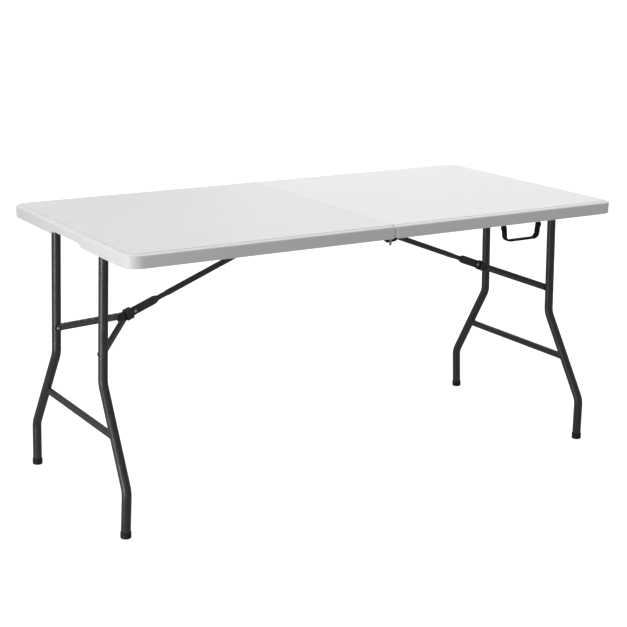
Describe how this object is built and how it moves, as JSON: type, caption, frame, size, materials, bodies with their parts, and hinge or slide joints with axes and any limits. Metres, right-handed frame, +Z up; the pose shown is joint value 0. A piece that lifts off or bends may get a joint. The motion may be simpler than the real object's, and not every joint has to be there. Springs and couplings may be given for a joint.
{
  "type": "folding table",
  "caption": "Rectangular table with a moulded two-part top that folds at the middle, folding wishbone tube legs with sliding lock rings, and a side carrying handle.",
  "frame": {"origin": "on the floor under the middle of the table", "axes": "+X along the length to the half with the carrying handle, +Z up, -Y towards the long side with the carrying handle"},
  "size_m": [1.52, 0.76, 0.74],
  "materials": {
    "top_plastic": "fine pebble texture",
    "frame_steel": "hammered powder coat",
    "black_steel": "satin black",
    "black_plastic": "moulded",
    "zinc": "bright zinc"
  },
  "bodies": {
    "left_half": {"left_table_top": "top_plastic", "left_far_side_rail": "frame_steel", "left_near_side_rail": "frame_steel", "left_far_hinge_leaf": "black_steel", "left_near_hinge_leaf": "black_steel", "far_hinge_pin": "black_steel", "near_hinge_pin": "black_steel", "far_catch_rivet": "zinc", "near_catch_rivet": "zinc", "left_strut_bracket": "frame_steel", "left_strut_pin": "zinc", "left_frame_screws": "zinc"},
    "right_half": {"right_table_top": "top_plastic", "right_far_side_rail": "frame_steel", "right_near_side_rail": "frame_steel", "right_far_hinge_leaf": "black_steel", "right_near_hinge_leaf": "black_steel", "right_strut_bracket": "frame_steel", "right_strut_pin": "zinc", "right_frame_screws": "zinc", "handle_brackets": "black_steel"},
    "left_legs": {"left_leg_pivot_tube": "frame_steel", "left_far_leg": "frame_steel", "left_near_leg": "frame_steel", "left_leg_crossbar": "frame_steel", "left_far_foot_cap": "black_plastic", "left_near_foot_cap": "black_plastic", "left_leg_rivets": "frame_steel"},
    "left_strut": {"left_brace_strut": "frame_steel", "left_brace_joint_rivet": "zinc"},
    "left_arms": {"left_far_brace_arm": "frame_steel", "left_near_brace_arm": "frame_steel", "left_arm_rivets": "frame_steel"},
    "left_lock_ring": {"left_brace_lock_ring": "black_plastic"},
    "right_legs": {"right_leg_pivot_tube": "frame_steel", "right_far_leg": "frame_steel", "right_near_leg": "frame_steel", "right_leg_crossbar": "frame_steel", "right_far_foot_cap": "black_plastic", "right_near_foot_cap": "black_plastic", "right_leg_rivets": "frame_steel"},
    "right_strut": {"right_brace_strut": "frame_steel", "right_brace_joint_rivet": "zinc"},
    "right_arms": {"right_far_brace_arm": "frame_steel", "right_near_brace_arm": "frame_steel", "right_arm_rivets": "frame_steel"},
    "right_lock_ring": {"right_brace_lock_ring": "black_plastic"},
    "handle": {"carry_handle": "black_steel", "handle_rivets": "black_steel"},
    "far_catch": {"far_hinge_catch": "zinc"},
    "near_catch": {"near_hinge_catch": "zinc"}
  },
  "joints": [
    {"name": "centre_fold", "type": "hinge", "parent": "left_half", "child": "right_half", "pos_m": [0, 0, 0.701], "axis": [0, 1, 0], "range_deg": [0, 90]},
    {"name": "left_leg_fold", "type": "hinge", "parent": "left_half", "child": "left_legs", "pos_m": [-0.722, 0, 0.719], "axis": [0, -1, 0], "range_deg": [0, 91.75]},
    {"name": "left_strut_swing", "type": "hinge", "parent": "left_half", "child": "left_strut", "pos_m": [-0.03, 0, 0.7065], "axis": [0, -1, 0], "range_deg": [-21.12, 0]},
    {"name": "left_knee_bend", "type": "hinge", "parent": "left_strut", "child": "left_arms", "pos_m": [-0.57116, 0, 0.49806], "axis": [0, -1, 0], "range_deg": [0, 184.25]},
    {"name": "left_ring_slide", "type": "slide", "parent": "left_strut", "child": "left_lock_ring", "axis": [0.9332, 0, 0.3594], "range_m": [0, 0.4255]},
    {"name": "right_leg_fold", "type": "hinge", "parent": "right_half", "child": "right_legs", "pos_m": [0.722, 0, 0.719], "axis": [0, 1, 0], "range_deg": [0, 91.75]},
    {"name": "right_strut_swing", "type": "hinge", "parent": "right_half", "child": "right_strut", "pos_m": [0.03, 0, 0.7065], "axis": [0, 1, 0], "range_deg": [-21.12, 0]},
    {"name": "right_knee_bend", "type": "hinge", "parent": "right_strut", "child": "right_arms", "pos_m": [0.57116, 0, 0.49806], "axis": [0, 1, 0], "range_deg": [0, 184.25]},
    {"name": "right_ring_slide", "type": "slide", "parent": "right_strut", "child": "right_lock_ring", "axis": [-0.9332, 0, 0.3594], "range_m": [0, 0.4255]},
    {"name": "handle_swing", "type": "hinge", "parent": "right_half", "child": "handle", "pos_m": [0.434, -0.361, 0.694], "axis": [-1, 0, 0], "range_deg": [0, 90]},
    {"name": "far_catch_swing", "type": "hinge", "parent": "left_half", "child": "far_catch", "pos_m": [-0.0064, 0.3636, 0.6995], "axis": [0, 1, 0], "range_deg": [-10, 60]},
    {"name": "near_catch_swing", "type": "hinge", "parent": "left_half", "child": "near_catch", "pos_m": [-0.0064, -0.3636, 0.6995], "axis": [0, 1, 0], "range_deg": [-10, 60]}
  ],
  "couplings": [
    {"joint": "left_strut_swing", "follows": "left_leg_fold", "ratio": -0.2296},
    {"joint": "left_knee_bend", "follows": "left_leg_fold", "ratio": 2.0076},
    {"joint": "left_ring_slide", "follows": "left_leg_fold", "m_per_rad": 0.2654},
    {"joint": "right_strut_swing", "follows": "right_leg_fold", "ratio": -0.2296},
    {"joint": "right_knee_bend", "follows": "right_leg_fold", "ratio": 2.0076},
    {"joint": "right_ring_slide", "follows": "right_leg_fold", "m_per_rad": 0.2654}
  ]
}
